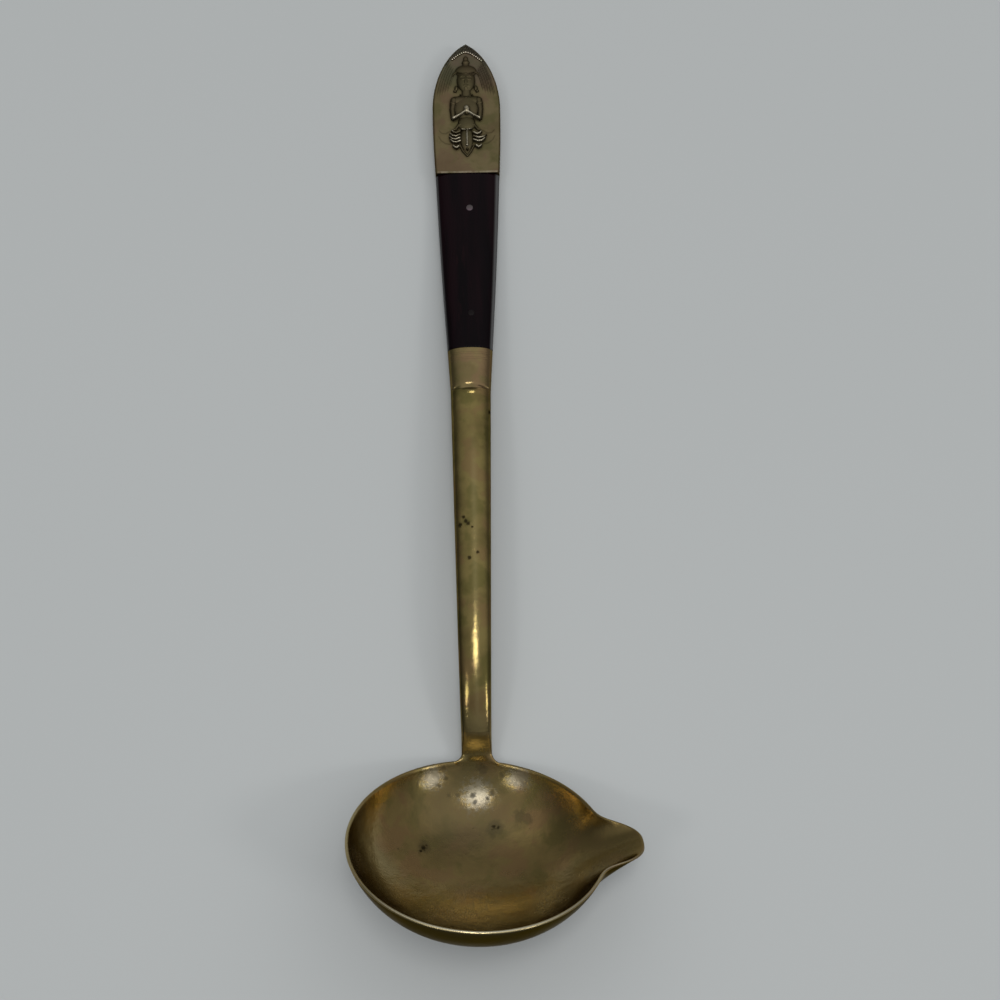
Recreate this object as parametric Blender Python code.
"""Serving ladle: a brass bowl with a side pouring lip, a long brass shaft and a riveted wooden grip.

The ladle lies as it does on a table: +Z up, +Y along the handle to its tip, +X towards the lip.
Sizes are in millimetres. "From the tip" is measured along -Y from the point of the finial.
"""

import math

import bmesh
import bpy
from mathutils import Matrix, Vector

MM = 0.001

# Bowl: a shallow floor arc that meets a tighter wall arc
RIM_RADIUS = 34.0
FLOOR_ARC = 50.0
WALL_ARC = 25.0
RIM_WALL_ANGLE = 71.0     # degrees between the wall and the rim's plane
BOWL_WALL = 0.9
BOWL_TILT = 45.0          # degrees that the mouth leans towards the handle
BOWL_ROLL = 5.0           # degrees that the mouth leans towards the lip

# Pouring lip
LIP_REACH = 9.3
LIP_HALF_ANGLE = 13.3     # degrees
LIP_TURN = -2.3           # degrees from square to the handle
LIP_POWER = 3.0           # 2 is a soft bell, more is a squarer lip
LIP_ROOT = 0.5            # share of the wall below which the lip has no effect

# Handle lengths
FINIAL_LENGTH = 47.0
OGIVE_LENGTH = 23.5       # the part of the finial that narrows to its point
OGIVE_POWER = 0.67        # less is blunter
GRIP_LENGTH = 62.5
BOLSTER_LENGTH = 13.5
HANDLE_LENGTH = 231.0     # from the tip to the rim of the bowl
ARCH_FROM_TIP = 169.0     # where the handle stands highest
NECK_LENGTH = 8.0         # part of the handle that is one with the bowl

# Handle widths and thicknesses
FINIAL_WIDTH = 21.6
GRIP_TOP_WIDTH = 20.1
GRIP_SWELL = 0.4          # how much wider the grip is halfway than a straight taper
GRIP_END_WIDTH = 13.5
SHAFT_TOP_WIDTH = 11.9
NECK_WIDTH = 8.4
FINIAL_THICKNESS = 5.6
FINIAL_BEVEL = 0.7
GRIP_THICKNESS = 6.4
SHAFT_TOP_THICKNESS = 5.8
NECK_THICKNESS = 3.2
ARCH_RISE = 10.0          # how much higher the arch stands than the finial
NECK_FILLET = 2.2
NECK_START = 1.5          # thickness of the neck at the rim, as a multiple of the bowl's wall

# Figure in relief on the finial
RELIEF_HEIGHT = 1.3

# Tang, spigot and rivets
TANG_WIDTH = 7.0
TANG_THICKNESS = 2.0
TANG_SOCKET = 14.0        # depth of the tang's socket in the finial
SPIGOT_WIDTH = 5.0
SPIGOT_THICKNESS = 1.0
SPIGOT_LENGTH = 2.0
RIVET_RADIUS = 1.05
RIVET_DOME = 0.15
RIVET_SIDE = 0.5          # the pins sit a little off the middle of the grip
RIVET_INSET_TOP = 12.7    # from the grip's upper end
RIVET_INSET_END = 12.0    # from the grip's lower end

# Engraved lines on the bolster, and the lens-shaped hollow in the front where it meets the shaft
LINE_COUNT = 4
LINE_PITCH = 0.9
LINE_WIDTH = 0.4
LINE_DEPTH = 0.15
HOLLOW_LENGTH = 2.1       # along the handle, to each side of the joint
HOLLOW_DEPTH = 0.55

# Gap between pieces that meet, and how finely round things are divided
CLEARANCE = 0.3
SECTION_POINTS = 24
BOWL_SPANS = 52
LIP_CROWDING = 0.05       # how much closer together the bowl's points are at the lip
BOWL_RINGS = 9
RELIEF_ROWS = 34
RELIEF_COLUMNS = 18
RIVET_SIDES = 16

# Colours
BRASS = (0.36, 0.27, 0.11)
ROSEWOOD = (0.035, 0.012, 0.014)


def clear_scene():
    for thing in list(bpy.data.objects):
        bpy.data.objects.remove(thing)


def material(name, colour, roughness, metallic):
    made = bpy.data.materials.new(name)
    made.use_nodes = True
    shader = made.node_tree.nodes["Principled BSDF"]
    shader.inputs["Base Color"].default_value = (*colour, 1.0)
    shader.inputs["Roughness"].default_value = roughness
    shader.inputs["Metallic"].default_value = metallic
    return made


def new_object(name, bm, finish, sharp_angle=35.0):
    """A named object from a bmesh in millimetres, with its faces turned out."""
    bmesh.ops.recalc_face_normals(bm, faces=bm.faces)
    bm.transform(Matrix.Scale(MM, 4))
    mesh = bpy.data.meshes.new(name)
    bm.to_mesh(mesh)
    bm.free()
    mesh.shade_smooth()
    mesh.set_sharp_from_angle(angle=math.radians(sharp_angle))
    mesh.materials.append(finish)
    thing = bpy.data.objects.new(name, mesh)
    bpy.context.scene.collection.objects.link(thing)
    return thing


def new_cutter(name, bm, finish):
    thing = new_object(name, bm, finish)
    thing.hide_render = True
    return thing


def cut_away(thing, cutter):
    step = thing.modifiers.new("cut_" + cutter.name, "BOOLEAN")
    step.operation = "DIFFERENCE"
    step.solver = "EXACT"
    step.object = cutter


def spread(first, last, count):
    """Evenly spaced values from first to last."""
    return [first + (last - first) * step / (count - 1) for step in range(count)]


def smooth_step(share):
    share = min(1.0, max(0.0, share))
    return share * share * (3.0 - 2.0 * share)


def hermite(x, start, end, start_slope, end_slope):
    """Height and slope at x of the cubic between two (x, height) points with the given end slopes."""
    span = end[0] - start[0]
    t = (x - start[0]) / span
    height = (
        (2 * t**3 - 3 * t**2 + 1) * start[1]
        + (t**3 - 2 * t**2 + t) * span * start_slope
        + (3 * t**2 - 2 * t**3) * end[1]
        + (t**3 - t**2) * span * end_slope
    )
    slope = (
        6 * (t**2 - t) * (start[1] - end[1]) / span
        + (3 * t**2 - 4 * t + 1) * start_slope
        + (3 * t**2 - 2 * t) * end_slope
    )
    return height, slope


# Bowl shape, in its own frame: the rim lies in the XY plane, +Y towards the handle, the floor below

RIM_ANGLE = math.radians(RIM_WALL_ANGLE)
JOIN_ANGLE = math.asin((RIM_RADIUS - WALL_ARC * math.sin(RIM_ANGLE)) / (FLOOR_ARC - WALL_ARC))
BOWL_DEPTH = FLOOR_ARC * (1 - math.cos(JOIN_ANGLE)) + WALL_ARC * (math.cos(JOIN_ANGLE) - math.cos(RIM_ANGLE))

# Where the handle's middle line meets the rolled rim
ROLL = math.radians(BOWL_ROLL)
NECK_ANGLE = math.atan2(math.cos(ROLL), math.sin(math.radians(BOWL_TILT)) * math.sin(ROLL))


def lip_share(angle, share):
    """1 at the middle of the pouring lip's edge, falling to 0 to both sides and down the wall."""
    climb = max(0.0, (share - LIP_ROOT) / (1.0 - LIP_ROOT))
    off = (math.degrees(angle) - LIP_TURN + 180.0) % 360.0 - 180.0
    half_angle = LIP_HALF_ANGLE * (1.5 - 0.5 * climb)
    return climb**2 * math.exp(-(abs(off / half_angle) ** LIP_POWER))


def bowl_point(angle, share, inset):
    """A point of the dish: share runs from 0 at the floor to 1 at the rim, inset goes into the wall."""
    lean = RIM_ANGLE * share
    if lean < JOIN_ANGLE:
        radius = FLOOR_ARC * math.sin(lean)
        height = FLOOR_ARC * (1 - math.cos(lean)) - BOWL_DEPTH
    else:
        radius = RIM_RADIUS - WALL_ARC * (math.sin(RIM_ANGLE) - math.sin(lean))
        height = -WALL_ARC * (math.cos(lean) - math.cos(RIM_ANGLE))
    radius += LIP_REACH * lip_share(angle, share) - inset * math.sin(lean)
    height += inset * math.cos(lean)
    return Vector((radius * math.cos(angle), radius * math.sin(angle), height))


def bowl_rotation():
    tilt = Matrix.Rotation(-math.radians(BOWL_TILT), 4, "X")
    roll = Matrix.Rotation(ROLL, 4, "Y")
    return roll @ tilt


def bowl_placement():
    """Stands the dish on the table with the middle of its rim above X = 0, Y = 0."""
    turn = bowl_rotation()
    angles = spread(0.0, 2 * math.pi, 121)
    lowest = min((turn @ bowl_point(a, share, 0.0)).z for a in angles for share in spread(0.0, 1.0, 41))
    return Matrix.Translation((0, 0, -lowest)) @ turn


class HandleLine:
    """The centre line of the handle and the Y of each place along it."""

    def __init__(self):
        rim = bowl_placement() @ bowl_point(NECK_ANGLE, 1.0, BOWL_WALL / 2)
        self.rim_y = rim.y
        self.tip = rim.y + HANDLE_LENGTH
        self.finial_end = self.tip - FINIAL_LENGTH
        self.grip_end = self.finial_end - GRIP_LENGTH
        self.bolster_end = self.grip_end - BOLSTER_LENGTH
        self.arch = self.tip - ARCH_FROM_TIP
        self.neck = rim.y + NECK_LENGTH
        self.neck_slope = math.tan(RIM_ANGLE - math.radians(BOWL_TILT))
        self.finial_height = FINIAL_THICKNESS / 2
        self.arch_height = self.finial_height + ARCH_RISE
        self.neck_height = rim.z + NECK_LENGTH * self.neck_slope

    def at(self, y):
        """Height and slope of the centre line."""
        crest = (self.arch, self.arch_height)
        if y >= self.finial_end:
            return self.finial_height, 0.0
        if y >= self.arch:
            return hermite(y, crest, (self.finial_end, self.finial_height), 0.0, 0.0)
        if y >= self.neck:
            return hermite(y, (self.neck, self.neck_height), crest, self.neck_slope, 0.0)
        return self.neck_height + (y - self.neck) * self.neck_slope, self.neck_slope

    def frame(self, y):
        """Where and how a cross-section stands: X across, Y along the handle, Z to its front."""
        height, slope = self.at(y)
        return Matrix.Translation((0, y, height)) @ Matrix.Rotation(math.atan(slope), 4, "X")

    def ring(self, y, offsets):
        place = self.frame(y)
        return [place @ Vector((side, 0, up)) for side, up in offsets]


def handle_width(line, y):
    if y >= line.grip_end:
        share = (line.finial_end - y) / GRIP_LENGTH
        swell = GRIP_SWELL * math.sin(math.pi * share)
        return GRIP_TOP_WIDTH + (GRIP_END_WIDTH - GRIP_TOP_WIDTH) * share + swell
    if y >= line.bolster_end:
        share = (line.grip_end - y) / BOLSTER_LENGTH
        return GRIP_END_WIDTH + (SHAFT_TOP_WIDTH - GRIP_END_WIDTH) * share
    share = (line.bolster_end - y) / (line.bolster_end - line.neck)
    return SHAFT_TOP_WIDTH + (NECK_WIDTH - SHAFT_TOP_WIDTH) * min(1.0, share)


def handle_thickness(line, y):
    if y >= line.grip_end:
        share = (line.finial_end - y) / GRIP_LENGTH
        return FINIAL_THICKNESS + (GRIP_THICKNESS - FINIAL_THICKNESS) * smooth_step(share * 2)
    if y >= line.bolster_end:
        share = (line.grip_end - y) / BOLSTER_LENGTH
        return GRIP_THICKNESS + (SHAFT_TOP_THICKNESS - GRIP_THICKNESS) * share
    share = (line.bolster_end - y) / (line.bolster_end - line.neck)
    return SHAFT_TOP_THICKNESS + (NECK_THICKNESS - SHAFT_TOP_THICKNESS) * min(1.0, share)


def signed_power(value, power):
    return math.copysign(abs(value) ** power, value)


def oval(width, thickness, front_power, back_power):
    """Offsets (side, up) round a section: power 2 is an ellipse, more is squarer."""
    points = []
    for step in range(SECTION_POINTS):
        angle = 2 * math.pi * (step + 0.5) / SECTION_POINTS
        power = front_power if math.sin(angle) > 0 else back_power
        side = width / 2 * signed_power(math.cos(angle), 2 / power)
        up = thickness / 2 * signed_power(math.sin(angle), 2 / power)
        points.append((side, up))
    return points


def rectangle(width, thickness):
    """Offsets of a rectangle with as many points as an oval, so that the two can be joined."""
    points = []
    for step in range(SECTION_POINTS):
        angle = 2 * math.pi * (step + 0.5) / SECTION_POINTS
        reach = max(abs(math.cos(angle)), abs(math.sin(angle)))
        points.append((width / 2 * math.cos(angle) / reach, thickness / 2 * math.sin(angle) / reach))
    return points


def join_rings(bm, rows):
    """Quads between neighbouring rows of vertices, each row a closed ring."""
    count = len(rows[0])
    for low, high in zip(rows, rows[1:]):
        for step in range(count):
            after = (step + 1) % count
            bm.faces.new((low[step], low[after], high[after], high[step]))


def add_loft(bm, rings):
    """A closed solid through rings of points."""
    rows = [[bm.verts.new(point) for point in ring] for ring in rings]
    join_rings(bm, rows)
    bm.faces.new(rows[0])
    bm.faces.new(rows[-1])


def add_tube(bm, outer, inner):
    """A closed solid with a hole right through: outer rings, then inner rings on the way back."""
    rows = [[bm.verts.new(point) for point in ring] for ring in outer + inner]
    join_rings(bm, rows + rows[:1])


# Bowl

def neck_half_angle():
    """Half of the rim's angle that the neck and its fillets take up."""
    return math.asin((NECK_WIDTH / 2 + NECK_FILLET) / RIM_RADIUS)


def bowl_angles():
    """Angles round the bowl: first those under the neck, then the rest with more of them at the lip."""
    half = neck_half_angle()
    under_neck = spread(NECK_ANGLE - half, NECK_ANGLE + half, SECTION_POINTS // 2)
    start = NECK_ANGLE + half
    sweep = 2 * math.pi - 2 * half
    lip_at = (2 * math.pi + math.radians(LIP_TURN) - start) / sweep
    rest = []
    for share in spread(0.0, 1.0, BOWL_SPANS + 1)[1:-1]:
        crowding = math.sin(2 * math.pi * lip_at) + math.sin(2 * math.pi * (share - lip_at))
        rest.append(start + sweep * (share - LIP_CROWDING * crowding))
    return under_neck + rest


def neck_section(line, y):
    """The neck thins towards the bowl, from the shaft's thickness to nearly that of the wall."""
    share = smooth_step((y - line.rim_y - NECK_FILLET) / (NECK_LENGTH - NECK_FILLET))
    thickness = NECK_START * BOWL_WALL + (NECK_THICKNESS - NECK_START * BOWL_WALL) * share
    return oval(NECK_WIDTH, thickness, 2.3, 3.2)


def neck_rings(line, strip):
    """Rings from the strip of rim under the neck up to the shaft's end, with a fillet at each side."""
    fillet_end = line.rim_y + NECK_FILLET
    goal = line.ring(fillet_end, neck_section(line, fillet_end))
    along = (line.frame(line.neck).to_3x3() @ Vector((0, 1, 0))) * NECK_FILLET * 1.4
    edge = max(abs(point.x) for point in strip)
    rings = []
    for t in spread(0.0, 1.0, 6)[1:]:
        ring = []
        for start, end in zip(strip, goal):
            outward = (abs(start.x) / edge) ** 3
            leave = along * (1 - outward) + Vector((end.x - start.x, 0, 0)) * outward * 1.5
            point = (2 * t**3 - 3 * t**2 + 1) * start + (t**3 - 2 * t**2 + t) * leave
            point += (3 * t**2 - 2 * t**3) * end + (t**3 - t**2) * along
            ring.append(point)
        rings.append(ring)
    for y in spread(fillet_end, line.neck, 4)[1:]:
        rings.append(line.ring(y, neck_section(line, y)))
    return rings


def make_bowl(line, brass):
    """The dish, its pouring lip and the neck that the shaft is brazed into."""
    placement = bowl_placement()
    angles = bowl_angles()
    shares = spread(0.0, 1.0, BOWL_RINGS + 1)[1:]
    bm = bmesh.new()
    edges = []
    for inset in (BOWL_WALL, 0.0):
        floor = bm.verts.new(placement @ bowl_point(0.0, 0.0, inset))
        rows = [[bm.verts.new(placement @ bowl_point(a, share, inset)) for a in angles] for share in shares]
        join_rings(bm, rows)
        for step in range(len(angles)):
            bm.faces.new((floor, rows[0][step], rows[0][(step + 1) % len(angles)]))
        edges.append(rows[-1])
    inner, outer = edges
    strip_count = SECTION_POINTS // 2
    for step in range(strip_count - 1, len(angles)):
        after = (step + 1) % len(angles)
        bm.faces.new((inner[step], outer[step], outer[after], inner[after]))
    strip = inner[:strip_count] + outer[:strip_count][::-1]
    rings = neck_rings(line, [vert.co.copy() for vert in strip])
    rows = [strip] + [[bm.verts.new(point) for point in ring] for ring in rings]
    join_rings(bm, rows)
    bm.faces.new(rows[-1])
    bowl = new_object("bowl", bm, brass, 50.0)

    socket = bmesh.new()
    reach = SPIGOT_LENGTH + CLEARANCE
    hole = rectangle(SPIGOT_WIDTH + 2 * CLEARANCE, SPIGOT_THICKNESS + 2 * CLEARANCE)
    add_loft(socket, [line.ring(line.neck - reach, hole), line.ring(line.neck + reach, hole)])
    cut_away(bowl, new_cutter("spigot_socket", socket, brass))
    return bowl


# Shaft and bolster

def hollowed_front(line, y, offsets):
    """Sinks the front of a section into the lens-shaped hollow where shaft and bolster meet."""
    half = max(side for side, up in offsets)
    points = []
    for side, up in offsets:
        reach = HOLLOW_LENGTH * (1.0 - (side / half) ** 2) + CLEARANCE / 10
        sunk = max(0.0, 1.0 - ((y - line.bolster_end) / reach) ** 2) ** 2
        points.append((side, up - HOLLOW_DEPTH * sunk if up > 0 else up))
    return points


def shaft_section(line, y):
    """A bar with a rounded front and a flatter back."""
    return hollowed_front(line, y, oval(handle_width(line, y), handle_thickness(line, y), 2.3, 3.2))


def make_shaft(line, brass):
    """The bar with its spigot at the bowl and its flat tang through the grip, all in one."""
    spigot = rectangle(SPIGOT_WIDTH, SPIGOT_THICKNESS)
    tang = rectangle(TANG_WIDTH, TANG_THICKNESS)
    foot = line.neck + CLEARANCE
    hollow_start = line.bolster_end - HOLLOW_LENGTH
    tang_end = line.finial_end + TANG_SOCKET - CLEARANCE
    rings = [line.ring(y, spigot) for y in (line.neck - SPIGOT_LENGTH, foot)]
    stations = spread(foot, line.arch, 13) + spread(line.arch, hollow_start, 8)[1:]
    stations += spread(hollow_start, line.bolster_end, 6)[1:]
    rings += [line.ring(y, shaft_section(line, y)) for y in stations]
    rings += [line.ring(y, tang) for y in spread(line.bolster_end, line.finial_end, 12) + [tang_end]]
    bm = bmesh.new()
    add_loft(bm, rings)
    shaft = new_object("shaft_and_tang", bm, brass)
    for y in rivet_places(line):
        cut_away(shaft, rivet_hole(line, y, brass))
    return shaft


def bolster_section(line, y, depth):
    """The collar's section, drawn in all round by an engraved line's depth."""
    width = handle_width(line, y) - 2 * depth
    thickness = handle_thickness(line, y) - 2 * depth
    return hollowed_front(line, y, oval(width, thickness, 3.0, 3.4))


def make_bolster(line, brass):
    """A collar slipped over the tang, against the shoulder of the shaft."""
    first = line.bolster_end + CLEARANCE
    last = line.grip_end - CLEARANCE
    lines_start = last - LINE_PITCH * LINE_COUNT
    cuts = [(y, 0.0) for y in spread(first, line.bolster_end + HOLLOW_LENGTH, 6) + [lines_start]]
    for number in range(LINE_COUNT):
        middle = lines_start + LINE_PITCH * (number + 0.5)
        cuts += [(middle - LINE_WIDTH / 2, 0.0), (middle, LINE_DEPTH), (middle + LINE_WIDTH / 2, 0.0)]
    cuts.append((last, 0.0))
    slot = rectangle(TANG_WIDTH + 2 * CLEARANCE, TANG_THICKNESS + 2 * CLEARANCE)
    outer = [line.ring(y, bolster_section(line, y, depth)) for y, depth in cuts]
    inner = [line.ring(y, slot) for y in spread(last, first, 5)]
    bm = bmesh.new()
    add_tube(bm, outer, inner)
    return new_object("bolster", bm, brass)


# Finial with a praying figure, as rounded bumps: (side, from the tip, half width, half length, height)

FIGURE = (
    (0.0, 5.9, 1.3, 2.8, 0.55),
    (0.0, 9.5, 3.5, 1.9, 0.9),
    (0.0, 13.9, 2.9, 3.7, 1.0),
    (0.0, 18.5, 1.7, 1.5, 0.6),
    (0.0, 23.9, 5.0, 5.2, 0.7),
    (-4.2, 24.1, 1.4, 4.8, 0.8),
    (4.2, 24.1, 1.4, 4.8, 0.8),
    (-2.4, 26.5, 2.6, 1.2, 0.9),
    (2.4, 26.5, 2.6, 1.2, 0.9),
    (0.0, 24.6, 1.1, 1.9, 1.0),
    (0.0, 29.6, 2.9, 2.9, 0.6),
    (0.0, 35.0, 2.1, 5.3, 0.75),
    (-4.2, 35.0, 2.0, 3.3, 0.5),
    (4.2, 35.0, 2.0, 3.3, 0.5),
)


def relief(side, from_tip):
    """Height of the figure above the plate."""
    height = 0.0
    for middle, station, half_width, half_length, rise in FIGURE:
        off = ((side - middle) / half_width) ** 2 + ((from_tip - station) / half_length) ** 2
        if off < 1.0:
            height = max(height, rise * math.sqrt(1.0 - off))
    return RELIEF_HEIGHT * height


def finial_half_width(from_tip):
    """Half width of the pointed-arch plate."""
    half = FINIAL_WIDTH / 2
    if from_tip < OGIVE_LENGTH:
        return half * (1.0 - (1.0 - from_tip / OGIVE_LENGTH) ** 2) ** OGIVE_POWER
    share = (from_tip - OGIVE_LENGTH) / (FINIAL_LENGTH - OGIVE_LENGTH)
    return half + (GRIP_TOP_WIDTH / 2 - half) * share**2


def finial_ring(line, from_tip, end_bevel):
    """A section of the plate: its front with the figure, its bevelled edges and its flat back."""
    half = finial_half_width(from_tip)
    bevel = min(FINIAL_BEVEL, half / 2)
    top = FINIAL_THICKNESS - end_bevel
    y = line.tip - from_tip
    points = [Vector((half, y, top - bevel))]
    for side in spread(half - bevel, bevel - half, RELIEF_COLUMNS):
        points.append(Vector((side, y, top + relief(side, from_tip))))
    points += [Vector((-half, y, top - bevel)), Vector((-half, y, 0.0)), Vector((half, y, 0.0))]
    return points


def make_finial(line, brass):
    """The pointed plate at the tip, with a socket for the end of the tang."""
    last = FINIAL_LENGTH - CLEARANCE
    stations = [0.15, 0.8] + spread(2.0, last - FINIAL_BEVEL, RELIEF_ROWS)
    rings = [finial_ring(line, station, 0.0) for station in stations]
    rings.append(finial_ring(line, last, FINIAL_BEVEL / 2))
    bm = bmesh.new()
    add_loft(bm, rings)
    finial = new_object("finial", bm, brass)
    socket = bmesh.new()
    hole = rectangle(TANG_WIDTH + 2 * CLEARANCE, TANG_THICKNESS + 2 * CLEARANCE)
    ends = (line.finial_end - TANG_SOCKET, line.finial_end + TANG_SOCKET)
    add_loft(socket, [[Vector((side, y, line.finial_height + up)) for side, up in hole] for y in ends])
    cut_away(finial, new_cutter("tang_socket", socket, brass))
    return finial


# Grip and rivets

def scale_section(line, y, sign):
    """Half of the grip: a rounded outside, and a flat inside with a channel for the tang."""
    whole = oval(handle_width(line, y), handle_thickness(line, y), 3.2, 3.2)
    outside = [(side, up) for side, up in whole if up > 0]
    face = CLEARANCE / 2
    edge = outside[0][0]
    channel_side = TANG_WIDTH / 2 + CLEARANCE
    channel_up = TANG_THICKNESS / 2 + CLEARANCE
    left = [(-edge, face), (-channel_side, face), (-channel_side, channel_up)]
    right = [(-side, up) for side, up in reversed(left)]
    return [(side, sign * up) for side, up in outside + left + right]


def make_scale(line, name, sign, wood):
    """One wooden half of the grip, between the finial and the bolster."""
    bm = bmesh.new()
    stations = spread(line.grip_end + CLEARANCE, line.finial_end - CLEARANCE, 12)
    add_loft(bm, [line.ring(y, scale_section(line, y, sign)) for y in stations])
    scale = new_object(name, bm, wood)
    for y in rivet_places(line):
        cut_away(scale, rivet_hole(line, y, wood))
    return scale


def rivet_places(line):
    return line.finial_end - RIVET_INSET_TOP, line.grip_end + RIVET_INSET_END


def rivet_frame(line, y):
    return line.frame(y) @ Matrix.Translation((RIVET_SIDE, 0, 0))


def turned(profile, placement):
    """A closed solid of revolution through (radius, height) points."""
    bm = bmesh.new()
    rings = []
    for radius, height in profile:
        angles = [2 * math.pi * step / RIVET_SIDES for step in range(RIVET_SIDES)]
        rings.append([Vector((radius * math.cos(a), radius * math.sin(a), height)) for a in angles])
    add_loft(bm, rings)
    bm.transform(placement)
    return bm


def rivet_hole(line, y, finish):
    """The cutter for one rivet, made once and used for every piece that the rivet goes through."""
    name = "rivet_hole_at_%d" % round(line.tip - y)
    made = bpy.data.objects.get(name)
    if made:
        return made
    radius = RIVET_RADIUS + CLEARANCE
    bm = turned([(radius, GRIP_THICKNESS), (radius, -GRIP_THICKNESS)], rivet_frame(line, y))
    return new_cutter(name, bm, finish)


def make_rivet(line, name, y, brass):
    """A pin through both scales and the tang, with a low dome at each end."""
    face = handle_thickness(line, y) / 2
    half = [
        (RIVET_RADIUS, face),
        (RIVET_RADIUS * 0.8, face + RIVET_DOME * 0.6),
        (RIVET_RADIUS * 0.4, face + RIVET_DOME),
    ]
    profile = half[::-1] + [(radius, -height) for radius, height in half]
    return new_object(name, turned(profile, rivet_frame(line, y)), brass)


def centre_on_table(root, pieces):
    """Moves the ladle so that the middle of its footprint is the origin, with the table at Z = 0."""
    bpy.context.view_layer.update()
    graph = bpy.context.evaluated_depsgraph_get()
    corners = [vert.co.copy() for piece in pieces for vert in piece.evaluated_get(graph).data.vertices]
    low = [min(corner[axis] for corner in corners) for axis in range(3)]
    high = [max(corner[axis] for corner in corners) for axis in range(3)]
    root.location = (-(low[0] + high[0]) / 2, -(low[1] + high[1]) / 2, -low[2])


def main():
    clear_scene()
    brass = material("aged_brass", BRASS, 0.32, 1.0)
    wood = material("dark_rosewood", ROSEWOOD, 0.28, 0.0)
    line = HandleLine()
    upper, lower = rivet_places(line)
    pieces = [
        make_bowl(line, brass),
        make_shaft(line, brass),
        make_bolster(line, brass),
        make_finial(line, brass),
        make_scale(line, "front_scale", 1, wood),
        make_scale(line, "back_scale", -1, wood),
        make_rivet(line, "upper_rivet", upper, brass),
        make_rivet(line, "lower_rivet", lower, brass),
    ]
    root = bpy.data.objects.new("ladle", None)
    bpy.context.scene.collection.objects.link(root)
    for thing in list(bpy.data.objects):
        if thing is not root:
            thing.parent = root
    centre_on_table(root, pieces)


main()
